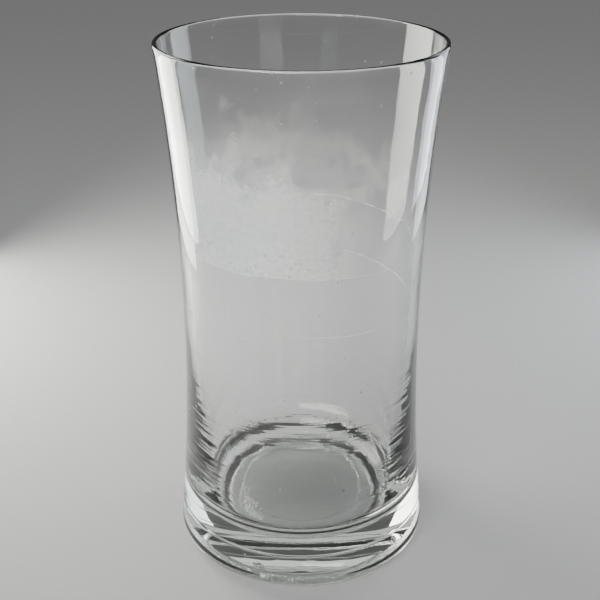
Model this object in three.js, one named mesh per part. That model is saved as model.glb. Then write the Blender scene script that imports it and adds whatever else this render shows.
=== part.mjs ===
// A waisted cylinder vase for cut flowers, pressed in one piece of clear glass.
// The wall is thick at the foot and thins upwards to a fire-polished lip. The inside is a bore
// that flares with the side and closes in to a bowl with a flat floor. The axis is +Z, and the foot
// stands on z = 0.
import * as THREE from 'three';

// Driving dimensions, in millimetres.
const HEIGHT = 250;          // foot to the top of the lip
const RIM_RADIUS = 64.4;     // outside, at the lip
const WAIST_RADIUS = 56.6;   // outside, at the narrowest place
const WAIST_HEIGHT = 118;
const BASE_RADIUS = 62.5;    // outside, at the widest place of the heel
const HEEL_ROUNDING = 7.4;   // edge between the side and the foot
const RIM_WALL = 2.1;        // thickness of the lip, whose edge is fully rounded
const WAIST_WALL = 4.5;      // thickness at the waist; it thins evenly from there to the lip
const FLOOR_HEIGHT = 19;     // inside floor above the foot
const FLOOR_RADIUS = 34;     // flat part of the inside floor
const BOWL_ROUNDING = 15.5;  // edge between the inside floor and the bowl
const FOOT_WIDTH = 8;        // flat ring that the vase stands on
const PUSH_UP = 2.5;         // hollow of the underside at its middle

// How finely the curves are cut.
const SIDES = 72;
const SWEEP_STEPS = 9;
const ROUNDING_STEPS = 6;

const HALF_TURN = Math.PI;
const QUARTER_TURN = Math.PI / 2;
const LIP_ROUNDING = RIM_WALL / 2;
const LIP_HEIGHT = HEIGHT - LIP_ROUNDING;

// Profile points are (radius, height). Angles are counted from the outward direction.
function arc(centre, radius, from, to, steps) {
  return Array.from({ length: steps + 1 }, (_, i) => {
    const angle = from + (to - from) * (i / steps);
    return new THREE.Vector2(
      centre.x + radius * Math.cos(angle),
      centre.y + radius * Math.sin(angle),
    );
  });
}

// Radius of the arc that starts straight up and has moved `drift` sideways after `rise`.
function sweepRadius(drift, rise) {
  return (drift * drift + rise * rise) / (2 * drift);
}

// The side is two arcs that both stand straight up at the waist. The lower one is tangent to the
// heel's rounding, and the upper one ends at the lip.
const HEEL_TO_SIDE = sweepRadius(BASE_RADIUS - WAIST_RADIUS, WAIST_HEIGHT - HEEL_ROUNDING);
const LOWER_SWEEP = HEEL_TO_SIDE - HEEL_ROUNDING;
const UPPER_SWEEP = sweepRadius(RIM_RADIUS - WAIST_RADIUS, LIP_HEIGHT - WAIST_HEIGHT);

// How much the wall thins for each unit of height, which is also the bore's slope at the waist.
const BORE_LEAN = (WAIST_WALL - RIM_WALL) / (LIP_HEIGHT - WAIST_HEIGHT);

// A shallow hollow, as far as the flat foot ring around it.
function underside() {
  const footInner = BASE_RADIUS - HEEL_ROUNDING - FOOT_WIDTH;
  const radius = sweepRadius(PUSH_UP, footInner);
  const centre = new THREE.Vector2(0, PUSH_UP - radius);
  const edge = QUARTER_TURN - Math.asin(footInner / radius);
  return [
    ...arc(centre, radius, QUARTER_TURN, edge, ROUNDING_STEPS).slice(0, -1),
    new THREE.Vector2(footInner, 0),
  ];
}

// The rounding from the foot to the side.
function heel() {
  const centre = new THREE.Vector2(BASE_RADIUS - HEEL_ROUNDING, HEEL_ROUNDING);
  const lean = Math.asin((WAIST_HEIGHT - HEEL_ROUNDING) / HEEL_TO_SIDE);
  return arc(centre, HEEL_ROUNDING, -QUARTER_TURN, lean, ROUNDING_STEPS);
}

// Outer radius of the side at a height between the heel and the lip.
function sideRadius(height) {
  const sweep = height < WAIST_HEIGHT ? LOWER_SWEEP : UPPER_SWEEP;
  const across = Math.sqrt(sweep ** 2 - (height - WAIST_HEIGHT) ** 2);
  return WAIST_RADIUS + sweep - Math.sign(sweep) * across;
}

// Radius of the bore from the waist to the lip, where it follows the side as the wall thins.
function boreRadius(height) {
  return sideRadius(height) - RIM_WALL - BORE_LEAN * (LIP_HEIGHT - height);
}

// Points on a wall between two heights, both included, from its radius at each height.
function wall(radiusAt, from, to, steps) {
  return Array.from({ length: steps + 1 }, (_, i) => {
    const height = from + (to - from) * (i / steps);
    return new THREE.Vector2(radiusAt(height), height);
  });
}

// The fully rounded edge between the outside and the inside.
function lip() {
  const centre = new THREE.Vector2(RIM_RADIUS - LIP_ROUNDING, LIP_HEIGHT);
  return arc(centre, LIP_ROUNDING, 0, HALF_TURN, ROUNDING_STEPS);
}

// The bowl: one arc that carries the bore on down from the waist and is tangent to the rounding
// that runs out onto the flat floor.
function bowl() {
  const reach = boreRadius(WAIST_HEIGHT) - FLOOR_RADIUS;
  const room = reach - BORE_LEAN * (WAIST_HEIGHT - FLOOR_HEIGHT);
  const rounding = Math.min(BOWL_ROUNDING, 0.96 * room);
  const depth = WAIST_HEIGHT - FLOOR_HEIGHT - rounding;
  const start = Math.atan(BORE_LEAN);
  const across = reach * Math.cos(start) - depth * Math.sin(start);
  const radius = (reach ** 2 + depth ** 2 - rounding ** 2) / (2 * (across - rounding));
  const roundingCentre = new THREE.Vector2(FLOOR_RADIUS, FLOOR_HEIGHT + rounding);
  const sideCentre = new THREE.Vector2(
    boreRadius(WAIST_HEIGHT) - radius * Math.cos(start),
    WAIST_HEIGHT + radius * Math.sin(start),
  );
  const end = roundingCentre.clone().sub(sideCentre).angle() - 2 * Math.PI;
  return [
    ...arc(sideCentre, radius, -start, end, SWEEP_STEPS).slice(1),
    ...arc(roundingCentre, rounding, end, -QUARTER_TURN, ROUNDING_STEPS).slice(1),
  ];
}

// The whole section, from the middle of the underside, up the outside and down the inside.
function section() {
  const heelPoints = heel();
  const heelTop = heelPoints.at(-1).y;
  return [
    ...underside(),
    ...heelPoints,
    ...wall(sideRadius, heelTop, WAIST_HEIGHT, SWEEP_STEPS).slice(1),
    ...wall(sideRadius, WAIST_HEIGHT, LIP_HEIGHT, SWEEP_STEPS).slice(1, -1),
    ...lip(),
    ...wall(boreRadius, LIP_HEIGHT, WAIST_HEIGHT, SWEEP_STEPS).slice(1),
    ...bowl(),
    new THREE.Vector2(0, FLOOR_HEIGHT),
  ];
}

function vaseBody() {
  const geometry = new THREE.LatheGeometry(section(), SIDES);
  geometry.rotateX(QUARTER_TURN);
  const clearGlass = new THREE.MeshStandardMaterial({
    color: 0xdfe6e2, roughness: 0.04, metalness: 0, transparent: true, opacity: 0.35,
  });
  const mesh = new THREE.Mesh(geometry, clearGlass);
  mesh.name = 'vase_body';
  return mesh;
}

const vase = new THREE.Group();
vase.add(vaseBody());

export default vase;
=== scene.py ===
import math

import bmesh
import bpy
from mathutils import Euler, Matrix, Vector


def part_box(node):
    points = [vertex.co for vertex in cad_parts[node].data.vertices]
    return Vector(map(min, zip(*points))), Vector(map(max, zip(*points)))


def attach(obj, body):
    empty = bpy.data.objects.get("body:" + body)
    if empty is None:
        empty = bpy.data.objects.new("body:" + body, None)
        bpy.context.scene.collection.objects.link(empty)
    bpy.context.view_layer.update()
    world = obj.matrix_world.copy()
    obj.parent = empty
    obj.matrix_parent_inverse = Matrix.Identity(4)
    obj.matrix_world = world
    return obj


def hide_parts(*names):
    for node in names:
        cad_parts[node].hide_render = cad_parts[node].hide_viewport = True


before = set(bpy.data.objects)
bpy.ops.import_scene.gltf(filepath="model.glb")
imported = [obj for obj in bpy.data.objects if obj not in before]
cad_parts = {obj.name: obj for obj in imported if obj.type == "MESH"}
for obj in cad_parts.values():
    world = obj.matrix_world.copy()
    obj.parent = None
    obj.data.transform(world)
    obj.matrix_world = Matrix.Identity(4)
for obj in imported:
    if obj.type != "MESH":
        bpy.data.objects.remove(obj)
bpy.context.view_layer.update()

# ---- Glass body -----------------------------------------------------------------------------
# One gob of clear soda-lime glass, pressed between an iron mould and a plunger. The mould gives
# the waisted outside, the heel and the parting line round it, the plunger gives the bore and the
# bowl with its flat floor, and a flame melts the lip round.
vase_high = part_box("vase_body")[1]
lip_top = vase_high.z
rim_radius = vase_high.x
rim_wall = 0.0021
lip_rounding = rim_wall / 2
lip_height = lip_top - lip_rounding
waist_radius, waist_height = 0.0566, 0.118
base_radius, heel_rounding = 0.0625, 0.0074
waist_wall = 0.0045
floor_radius, floor_height, bowl_rounding = 0.034, 0.019, 0.0155
foot_width, push_up = 0.008, 0.0025
parting_height, parting_bead, parting_width = 0.0200, 0.00022, 0.00045
parting_reach = 0.0015
plunger_ring_radius, plunger_ring_bead, plunger_ring_width = 0.0320, 0.00040, 0.00045
plunger_ring_step = 0.00025
nick_azimuth, nick_depth = math.radians(-10), 0.0008
nick_width, nick_height = 0.0012, 0.0007

glass_sides = 288
quarter_turn = math.pi / 2


def sweep_radius(drift, rise):
    """Radius of the arc that starts straight up and has moved `drift` sideways after `rise`."""
    return (drift * drift + rise * rise) / (2 * drift)


heel_to_side = sweep_radius(base_radius - waist_radius, waist_height - heel_rounding)
lower_sweep = heel_to_side - heel_rounding
upper_sweep = sweep_radius(rim_radius - waist_radius, lip_height - waist_height)
heel_lean = math.asin((waist_height - heel_rounding) / heel_to_side)
bore_lean = (waist_wall - rim_wall) / (lip_height - waist_height)


def hump(distance, width):
    """A bell curve, 1 at its middle."""
    return math.exp(-(distance / width) ** 2)


def side_radius(height):
    """Outer radius of the side: two arcs that both stand straight up at the waist."""
    sweep = lower_sweep if height < waist_height else upper_sweep
    bead = parting_bead * hump(height - parting_height, parting_width)
    return waist_radius + sweep - math.sqrt(sweep ** 2 - (height - waist_height) ** 2) + bead


def bore_radius(height):
    """Radius of the bore above the waist, where it follows the side as the wall thins evenly."""
    return side_radius(height) - rim_wall - bore_lean * (lip_height - height)


# The bowl carries the bore on down from the waist as one arc, tangent to the floor's rounding.
bowl_start = math.atan(bore_lean)
bowl_reach = bore_radius(waist_height) - floor_radius
bowl_depth = waist_height - floor_height - bowl_rounding
bowl_across = bowl_reach * math.cos(bowl_start) - bowl_depth * math.sin(bowl_start)
bowl_arc = ((bowl_reach ** 2 + bowl_depth ** 2 - bowl_rounding ** 2)
            / (2 * (bowl_across - bowl_rounding)))
bowl_centre = (bore_radius(waist_height) - bowl_arc * math.cos(bowl_start),
               waist_height + bowl_arc * math.sin(bowl_start))
rounding_centre = (floor_radius, floor_height + bowl_rounding)
bowl_end = math.atan2(bowl_centre[1] - rounding_centre[1], rounding_centre[0] - bowl_centre[0])


def line_to(bm, start, radius, height):
    """Carries the section on from a vertex with one straight line."""
    end = bmesh.ops.extrude_vert_indiv(bm, verts=[start])["verts"][0]
    end.co = (radius, 0, height)
    return end


def round_on(bm, start, centre, angle, steps):
    """Carries the section on from a vertex, along an arc about a centre."""
    centre = Vector((centre[0], 0, centre[1]))
    made = bmesh.ops.spin(bm, geom=[start], cent=centre, axis=(0, -1, 0), angle=angle,
                          steps=steps, use_duplicate=False)
    return made["geom_last"][0]


def wall_on(bm, start, radius_at, height, steps):
    """Carries the section on from a vertex to a height, along a wall."""
    low = start.co.z
    for step in range(1, steps + 1):
        level = low + (height - low) * step / steps
        start = line_to(bm, start, radius_at(level), level)
    return start


def inside_down(bm, start, inset, wall_steps, bowl_steps, rounding_steps):
    """Carries the section down the bore and over the floor to the middle, `inset` off the glass."""
    start = wall_on(bm, start, lambda level: bore_radius(level) - inset, waist_height, wall_steps)
    start = round_on(bm, start, bowl_centre, bowl_start - bowl_end, bowl_steps)
    start = round_on(bm, start, rounding_centre, bowl_end - quarter_turn, rounding_steps)
    for step in range(-4, 5):
        inwards = step * plunger_ring_step
        bead = plunger_ring_bead * hump(inwards, plunger_ring_width)
        start = line_to(bm, start, plunger_ring_radius - inwards, floor_height + inset + bead)
    for share in (0.8, 0.6, 0.4, 0.2, 0):
        start = line_to(bm, start, plunger_ring_radius * share, floor_height + inset)
    return start


def spin_round(bm, sides):
    """Turns the section into a closed body of revolution with its faces pointing outwards."""
    bmesh.ops.spin(bm, geom=bm.verts[:] + bm.edges[:], cent=(0, 0, 0), axis=(0, 0, 1),
                   angle=2 * math.pi, steps=sides, use_merge=True, use_duplicate=False)
    bmesh.ops.remove_doubles(bm, verts=bm.verts[:], dist=1e-6)
    bmesh.ops.recalc_face_normals(bm, faces=bm.faces[:])


def piece_from(bm, name):
    """Makes the object of a finished bmesh, smooth shaded, with its place in its mesh."""
    mesh = bpy.data.meshes.new(name)
    bm.to_mesh(mesh)
    bm.free()
    mesh.shade_smooth()
    made = bpy.data.objects.new(name, mesh)
    bpy.context.scene.collection.objects.link(made)
    return made


section = bmesh.new()
hollow_radius = base_radius - heel_rounding - foot_width
hollow_arc = sweep_radius(push_up, hollow_radius)
at = section.verts.new((0, 0, push_up))
at = round_on(section, at, (0, push_up - hollow_arc), -math.asin(hollow_radius / hollow_arc), 16)
for step in range(6):
    at = line_to(section, at, hollow_radius + foot_width * (step + 1) / 6, 0)
heel_centre = (base_radius - heel_rounding, heel_rounding)
at = round_on(section, at, heel_centre, quarter_turn + heel_lean, 24)
at = wall_on(section, at, side_radius, parting_height - parting_reach, 8)
at = wall_on(section, at, side_radius, parting_height + parting_reach, 14)
at = wall_on(section, at, side_radius, waist_height, 44)
at = wall_on(section, at, side_radius, lip_height, 44)
at = round_on(section, at, (rim_radius - lip_rounding, lip_height), math.pi, 20)
inside_down(section, at, 0, 44, 44, 24)
spin_round(section, glass_sides)

# A chip where the mould's seam meets its parting line.
nick_across = Vector((-math.sin(nick_azimuth), math.cos(nick_azimuth), 0))
nick_out = Vector((math.cos(nick_azimuth), math.sin(nick_azimuth), 0))
for vert in section.verts:
    if vert.co.dot(nick_out) > base_radius * 0.9 and vert.co.z < waist_height / 2:
        depth = nick_depth * hump(vert.co.dot(nick_across), nick_width)
        vert.co -= nick_out * depth * hump(vert.co.z - parting_height, nick_height)

# 1 on the skin that the mould shapes, 0 on the one that the plunger shapes.
for vert in section.verts:
    vert.co.z = max(vert.co.z, 0)
section.normal_update()
mould_side = section.verts.layers.float.new("mould_side")
for vert in section.verts:
    across = Vector((vert.co.x, vert.co.y, 0))
    vert[mould_side] = float(vert.normal.dot(across) > 0 or vert.co.z < push_up * 1.2)
glass_body = piece_from(section, "glass_body")


def node(tree, kind, inputs=None, **settings):
    """A shader node with its settings made and its inputs given values or linked."""
    made = tree.nodes.new("ShaderNode" + kind)
    for name, value in settings.items():
        setattr(made, name, value)
    for key, value in (inputs or {}).items():
        if isinstance(value, bpy.types.NodeSocket):
            tree.links.new(value, made.inputs[key])
        else:
            made.inputs[key].default_value = value
    return made


def reckon(tree, operation, first, second):
    """The output of a Math node."""
    return node(tree, "Math", {0: first, 1: second}, operation=operation).outputs[0]


def ramp(tree, value, start, end, low=0.0, high=1.0):
    """A value that goes smoothly from low to high as another goes from start to end."""
    made = node(tree, "MapRange", {"Value": value, "From Min": start, "From Max": end,
                                   "To Min": low, "To Max": high},
                interpolation_type="SMOOTHSTEP")
    return made.outputs["Result"]


def spot_pattern(tree, places, scale):
    """Noise on the object's own coordinates, stretched along each axis."""
    spread = node(tree, "Mapping", {"Vector": places, "Scale": scale})
    return node(tree, "TexNoise", {"Vector": spread.outputs[0], "Scale": 1.0, "Detail": 3.0})


def new_group(name, ins, outs):
    """A shader node group with float sockets, and its input and output nodes."""
    group = bpy.data.node_groups.new(name, "ShaderNodeTree")
    for socket_name, value in ins.items():
        socket = group.interface.new_socket(socket_name, in_out="INPUT",
                                            socket_type="NodeSocketFloat")
        socket.default_value = value
    for socket_name in outs:
        group.interface.new_socket(socket_name, in_out="OUTPUT", socket_type="NodeSocketFloat")
    return group, group.nodes.new("NodeGroupInput"), group.nodes.new("NodeGroupOutput")


# Dust and hard specks: a few of the cells of a fine foam hold a dot each.
specks, given, result = new_group("specks", {"Scale": 400, "Share": 0.02, "Size": 0.3}, ["Mask"])
places = node(specks, "TexCoord").outputs["Object"]
cells = node(specks, "TexVoronoi", {"Vector": places, "Scale": given.outputs["Scale"]})
chosen = node(specks, "SeparateColor", {"Color": cells.outputs["Color"]}).outputs["Red"]
chosen = reckon(specks, "LESS_THAN", chosen, given.outputs["Share"])
inside = reckon(specks, "LESS_THAN", cells.outputs["Distance"], given.outputs["Size"])
specks.links.new(reckon(specks, "MULTIPLY", chosen, inside), result.inputs["Mask"])

clear_glass = bpy.data.materials.new("clear_glass")
clear_glass.use_nodes = True
tree = clear_glass.node_tree
shader = tree.nodes["Principled BSDF"]
shader.inputs["Base Color"].default_value = (0.99, 1.0, 0.995, 1)
shader.inputs["IOR"].default_value = 1.52
shader.inputs["Transmission Weight"].default_value = 1.0
places = node(tree, "TexCoord").outputs["Object"]
level = node(tree, "SeparateXYZ", {"Vector": places}).outputs["Z"]
on_mould = node(tree, "Attribute", attribute_name="mould_side").outputs["Fac"]

# How far each mark stands out of the skin, in metres.
wave_height, ring_height, stipple_height = 0.00016, 0.00024, 0.00030
seam_height, mark_height = 0.00005, 0.00050

# Slow waves that the shears and the moulds leave in the skin, all over.
waves = spot_pattern(tree, places, (34, 34, 22)).outputs["Fac"]
waves = reckon(tree, "MULTIPLY", waves, wave_height)
# Chill rings, where the glass first touched the cold plunger, low in the wall.
rings = spot_pattern(tree, places, (9, 9, 270))
rings.inputs["Detail"].default_value = 2.0
rings = rings.outputs["Fac"]
low_down = reckon(tree, "MULTIPLY", ramp(tree, level, 0.125, 0.045),
                  ramp(tree, level, 0.020, 0.042))
low_down = reckon(tree, "MULTIPLY", low_down, ramp(tree, on_mould, 0.0, 1.0, 1.0, 0.2))
rings = reckon(tree, "MULTIPLY", reckon(tree, "MULTIPLY", rings, low_down), ring_height)
# The foot ring is stippled, so that the vase doesn't slip.
stipple = node(tree, "TexVoronoi", {"Vector": places, "Scale": 900.0}).outputs["Distance"]
on_foot = reckon(tree, "MULTIPLY", ramp(tree, level, 0.0006, 0.0002), on_mould)
stipple = reckon(tree, "MULTIPLY", reckon(tree, "MULTIPLY", stipple, on_foot), stipple_height)
# The two seams of the mould's halves, fine raised lines up the outside.
seam_plane = node(tree, "VectorMath", {0: places, 1: nick_across}, operation="DOT_PRODUCT")
off_seam = reckon(tree, "ABSOLUTE", seam_plane.outputs["Value"], 0)
seam = reckon(tree, "MULTIPLY", ramp(tree, off_seam, 0.0005, 0.0), on_mould)
seam = reckon(tree, "MULTIPLY", seam, seam_height)
# One oval stone mark low on the front.
mark_centre = Vector((-0.0199, -0.0577, 0.0128))
mark_stretch = (480, 480, 800)
off_mark = node(tree, "VectorMath", {0: places, 1: mark_centre}, operation="SUBTRACT").outputs[0]
off_mark = node(tree, "VectorMath", {0: off_mark, 1: mark_stretch}, operation="MULTIPLY")
off_mark = node(tree, "VectorMath", {0: off_mark.outputs[0]}, operation="LENGTH")
off_mark = off_mark.outputs["Value"]
off_mark = reckon(tree, "ABSOLUTE", reckon(tree, "SUBTRACT", off_mark, 1.0), 0)
mark = reckon(tree, "MULTIPLY", ramp(tree, off_mark, 0.5, 0.0), mark_height)

height = waves
for part in (rings, stipple, seam, mark):
    height = reckon(tree, "ADD", height, part)
bump = node(tree, "Bump", {"Height": height, "Strength": 1.0, "Distance": 1.0})
tree.links.new(bump.outputs["Normal"], shader.inputs["Normal"])
dust = node(tree, "Group", node_tree=specks)
dust.inputs["Scale"].default_value = 260
dust.inputs["Share"].default_value = 0.03
dust.inputs["Size"].default_value = 0.16
foot_roughness, dust_roughness = 0.22, 0.5
roughness = reckon(tree, "MAXIMUM", reckon(tree, "MULTIPLY", on_foot, foot_roughness),
                   reckon(tree, "MULTIPLY", dust.outputs["Mask"], dust_roughness))
tree.links.new(roughness, shader.inputs["Roughness"])
# Lamps shine on through the thin wall, so that what is inside is lit, but hardly through the foot,
# which bends their light away.
passed = ramp(tree, level, 0.025, 0.110, 0.25, 0.80)
let_through = node(tree, "BsdfTransparent", {"Color": passed})
is_shadow = node(tree, "LightPath").outputs["Is Shadow Ray"]
surface = node(tree, "MixShader", {0: is_shadow, 1: shader.outputs[0], 2: let_through.outputs[0]})
tree.links.new(surface.outputs[0], tree.nodes["Material Output"].inputs["Surface"])
green_cast = node(tree, "VolumeAbsorption", {"Color": (0.76, 0.86, 0.72, 1), "Density": 4.0})
tree.links.new(green_cast.outputs["Volume"], tree.nodes["Material Output"].inputs["Volume"])

glass_body.data.materials.append(clear_glass)
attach(glass_body, "root")
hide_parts("vase_body")

# ---- Limescale film -------------------------------------------------------------------------
# What hard water leaves inside: a clouded patch where it splashed and dried, a fine line at the
# level where it stood, a thinner veil below that, and specks. It is a skin a few hundredths of a
# millimetre thick on the inside of the glass.
film_gap, film_thickness = 0.00006, 0.00004
film_top, water_level, old_water_level = 0.236, 0.160, 0.132
film_sides = 180

section = bmesh.new()
outer_top = section.verts.new((bore_radius(film_top) - film_gap, 0, film_top))
inner_inset = film_gap + film_thickness
inner_top = line_to(section, outer_top, bore_radius(film_top) - inner_inset, film_top)
for start, inset in ((outer_top, film_gap), (inner_top, inner_inset)):
    inside_down(section, start, inset, 20, 20, 14)
spin_round(section, film_sides)
limescale_film = piece_from(section, "limescale_film")

limescale = bpy.data.materials.new("limescale")
limescale.use_nodes = True
tree = limescale.node_tree
shader = tree.nodes["Principled BSDF"]
shader.inputs["Roughness"].default_value = 0.75
shader.inputs["Specular IOR Level"].default_value = 0.2
places = node(tree, "TexCoord").outputs["Object"]
split = node(tree, "SeparateXYZ", {"Vector": places})
level = split.outputs["Z"]

# The vase stood a little off level, and the water's edge wandered as it dried.
wander = spot_pattern(tree, places, (45, 45, 45)).outputs["Fac"]
wander = reckon(tree, "MULTIPLY", reckon(tree, "SUBTRACT", wander, 0.5), 0.004)
tilt = reckon(tree, "MULTIPLY", split.outputs["X"], 0.03)
edge = reckon(tree, "ADD", reckon(tree, "ADD", level, wander), tilt)
above = ramp(tree, edge, water_level - 0.0004, water_level + 0.0004)
below = reckon(tree, "SUBTRACT", 1.0, above)


def tide_line(level_of_line, width):
    """1 on a fine line all round at one level, 0 away from it."""
    off_line = reckon(tree, "ABSOLUTE", reckon(tree, "SUBTRACT", edge, level_of_line), 0)
    return ramp(tree, off_line, width, 0.0)


# Splashes dried mostly on the front left, in one ragged cloud with bubbles' marks at its edge.
toward_left = node(tree, "VectorMath", {0: places, 1: (-0.85, -0.5, 0)}, operation="DOT_PRODUCT")
toward_left = toward_left.outputs["Value"]
clouds = spot_pattern(tree, places, (30, 30, 26))
clouds.inputs["Detail"].default_value = 6.0
clouds.inputs["Roughness"].default_value = 0.62
crowd = reckon(tree, "ADD", clouds.outputs["Fac"], ramp(tree, level, 0.224, 0.176, -0.14, 0.08))
crowd = reckon(tree, "ADD", crowd, ramp(tree, toward_left, -0.004, 0.048, -0.11, 0.11))
clouded = ramp(tree, crowd, 0.42, 0.56, 0.14, 1.0)
grain = spot_pattern(tree, places, (420, 420, 420)).outputs["Fac"]
clouded = reckon(tree, "MULTIPLY", clouded, ramp(tree, grain, 0.30, 0.62, 0.78, 1.0))
bubbles = node(tree, "TexVoronoi", {"Vector": places, "Scale": 240.0}).outputs["Distance"]
bubbles = ramp(tree, bubbles, 0.15, 0.30, 0.30, 1.0)
bubbles = reckon(tree, "MAXIMUM", bubbles, ramp(tree, edge, 0.165, 0.174))
splashed = reckon(tree, "MULTIPLY", reckon(tree, "MULTIPLY", clouded, bubbles), above)
splashed = reckon(tree, "MULTIPLY", splashed, ramp(tree, level, 0.230, 0.190))
left_share = ramp(tree, toward_left, -0.010, 0.046, 0.16, 1.0)
splashed = reckon(tree, "MULTIPLY", splashed, left_share)

runs = spot_pattern(tree, places, (150, 150, 7)).outputs["Fac"]
veil = reckon(tree, "MULTIPLY", below, ramp(tree, level, 0.060, 0.150))
veil = reckon(tree, "MULTIPLY", veil, ramp(tree, runs, 0.35, 0.7, 0.45, 1.0))
veil = reckon(tree, "MULTIPLY", veil, left_share)
water_line = reckon(tree, "MULTIPLY", tide_line(water_level, 0.0006),
                    ramp(tree, runs, 0.35, 0.65, 0.15, 1.0))
right_share = reckon(tree, "SUBTRACT", 1.0, left_share)
old_line = reckon(tree, "MULTIPLY", tide_line(old_water_level, 0.0005), right_share)

dots = node(tree, "Group", node_tree=specks)
dots.inputs["Scale"].default_value = 170
dots.inputs["Share"].default_value = 0.035
dots.inputs["Size"].default_value = 0.055

cloud_cover, veil_cover, water_line_cover, old_line_cover, dot_cover = 0.56, 0.20, 0.45, 0.40, 0.8
cover = reckon(tree, "MULTIPLY", splashed, cloud_cover)
for part, strength in ((veil, veil_cover), (water_line, water_line_cover),
                       (old_line, old_line_cover), (dots.outputs["Mask"], dot_cover)):
    cover = reckon(tree, "ADD", cover, reckon(tree, "MULTIPLY", part, strength))
tree.links.new(cover, shader.inputs["Alpha"])
tint = node(tree, "Mix", {0: ramp(tree, clouds.outputs["Fac"], 0.35, 0.65),
                          6: (0.88, 0.90, 0.93, 1), 7: (0.97, 0.95, 0.90, 1)}, data_type="RGBA")
tree.links.new(tint.outputs[2], shader.inputs["Base Color"])

limescale_film.data.materials.append(limescale)
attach(limescale_film, "root")

# ---- Floor, light and camera ----------------------------------------------------------------
# A plain pale studio floor, a soft panel behind each side of the vase and one in front, a wide
# soft light from above, and a camera that looks down at the vase.
bm = bmesh.new()
bmesh.ops.create_grid(bm, x_segments=1, y_segments=1, size=12)
floor = piece_from(bm, "floor")
floor_paint = bpy.data.materials.new("floor_paint")
floor_paint.use_nodes = True
shader = floor_paint.node_tree.nodes["Principled BSDF"]
shader.inputs["Base Color"].default_value = (0.42, 0.42, 0.42, 1)
shader.inputs["Roughness"].default_value = 0.7
floor.data.materials.append(floor_paint)


def soft_panel(name, place, aim, width, height, watts, colour=(1, 1, 1)):
    """A soft light that the camera doesn't see directly, only in and through the glass."""
    light = bpy.data.lights.new(name, "AREA")
    light.shape, light.size, light.size_y = "RECTANGLE", width, height
    light.energy, light.color = watts, colour
    made = bpy.data.objects.new(name, light)
    made.location = place
    made.rotation_euler = (Vector(aim) - Vector(place)).to_track_quat("-Z", "Y").to_euler()
    made.visible_camera = False
    bpy.context.scene.collection.objects.link(made)
    return made


soft_panel("left_panel", (-0.27, 0.22, 0.24), (0, 0.16, 0.20), 0.26, 0.47, 3.2, (1, 0.98, 0.94))
soft_panel("right_panel", (0.30, 0.27, 0.24), (0, 0.20, 0.20), 0.22, 0.47, 1.0, (0.88, 0.95, 1))
soft_panel("front_panel", (-0.3, -0.9, 0.85), (0, 0, 0.1), 0.7, 0.5, 11)

# A wide soft light from above, the same all over the floor.
overhead = bpy.data.lights.new("overhead", "SUN")
overhead.energy, overhead.angle = 0.85, math.radians(70)
overhead_lamp = bpy.data.objects.new("overhead", overhead)
overhead_lamp.rotation_euler = Euler((math.radians(-12), 0, 0))
bpy.context.scene.collection.objects.link(overhead_lamp)

world = bpy.data.worlds.new("studio")
bpy.context.scene.world = world
world.use_nodes = True
world.node_tree.nodes["Background"].inputs["Color"].default_value = (0.09, 0.09, 0.09, 1)
world.node_tree.nodes["Background"].inputs["Strength"].default_value = 1.0

camera_dip = math.radians(24.91)
camera = bpy.data.objects.new("camera", bpy.data.cameras.new("camera"))
camera.data.lens, camera.data.sensor_width = 62.47, 36
camera.data.shift_x = -0.0023
camera.location = (0, -0.4555, 0.3369)
camera.rotation_euler = Euler((quarter_turn - camera_dip, 0, 0))
bpy.context.scene.collection.objects.link(camera)
bpy.context.scene.camera = camera
